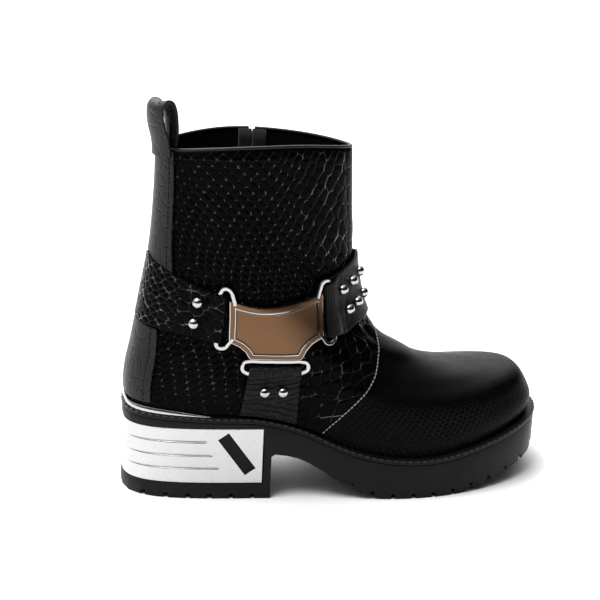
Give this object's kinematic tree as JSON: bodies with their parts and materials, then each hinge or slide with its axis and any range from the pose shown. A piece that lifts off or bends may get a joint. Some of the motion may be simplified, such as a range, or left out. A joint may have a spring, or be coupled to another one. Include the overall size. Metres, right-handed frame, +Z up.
{
  "type": "harness ankle boot",
  "caption": "Right ankle boot with an embossed leather upper, harness straps on a three-way metal plate, domed studs, inner side zip and a metal-clad block heel",
  "frame": {"origin": "centre of the footprint's bounding box, on the floor", "axes": "+X from heel to toe, +Y from the outer to the inner side of the foot, +Z up"},
  "size_m": [0.2605, 0.0988, 0.2331],
  "materials": {
    "embossed_leather": "glossy black, scale embossing",
    "strap_leather": "semi-gloss black",
    "back_strip_leather": "satin charcoal",
    "sole_rubber": "satin black",
    "welt_rubber": "satin black",
    "bright_metal": "polished",
    "plate_metal": "polished, coppery",
    "zip_cloth": "woven black",
    "insole_leather": "matt black"
  },
  "bodies": {
    "boot": {"outsole": "sole_rubber", "welt": "welt_rubber", "insole": "insole_leather", "heel_plate": "bright_metal", "heel_rim": "bright_metal", "upper": "embossed_leather", "backstay": "back_strip_leather", "counter_strip": "back_strip_leather", "pull_loop": "back_strip_leather", "heel_strap": "strap_leather", "instep_strap": "strap_leather", "under_strap": "strap_leather", "harness_plate": "plate_metal", "stud_heel_1": "bright_metal", "stud_heel_2": "bright_metal", "stud_under_1": "bright_metal", "stud_under_2": "bright_metal", "stud_instep_low_1": "bright_metal", "stud_instep_low_2": "bright_metal", "stud_instep_low_3": "bright_metal", "stud_instep_low_4": "bright_metal", "stud_instep_low_5": "bright_metal", "stud_instep_high_1": "bright_metal", "stud_instep_high_2": "bright_metal", "stud_instep_high_3": "bright_metal", "stud_instep_high_4": "bright_metal", "stud_instep_high_5": "bright_metal", "zip_tape": "zip_cloth", "zip_slider": "bright_metal"},
    "zip_pull": {"zip_pull": "bright_metal"}
  },
  "joints": [
    {"name": "zip_pull_flip", "type": "hinge", "parent": "boot", "child": "zip_pull", "pos_m": [-0.0506, 0.03462, 0.19404], "axis": [0.9834, -0.1736, 0.0529], "range_deg": [0, 170]}
  ]
}
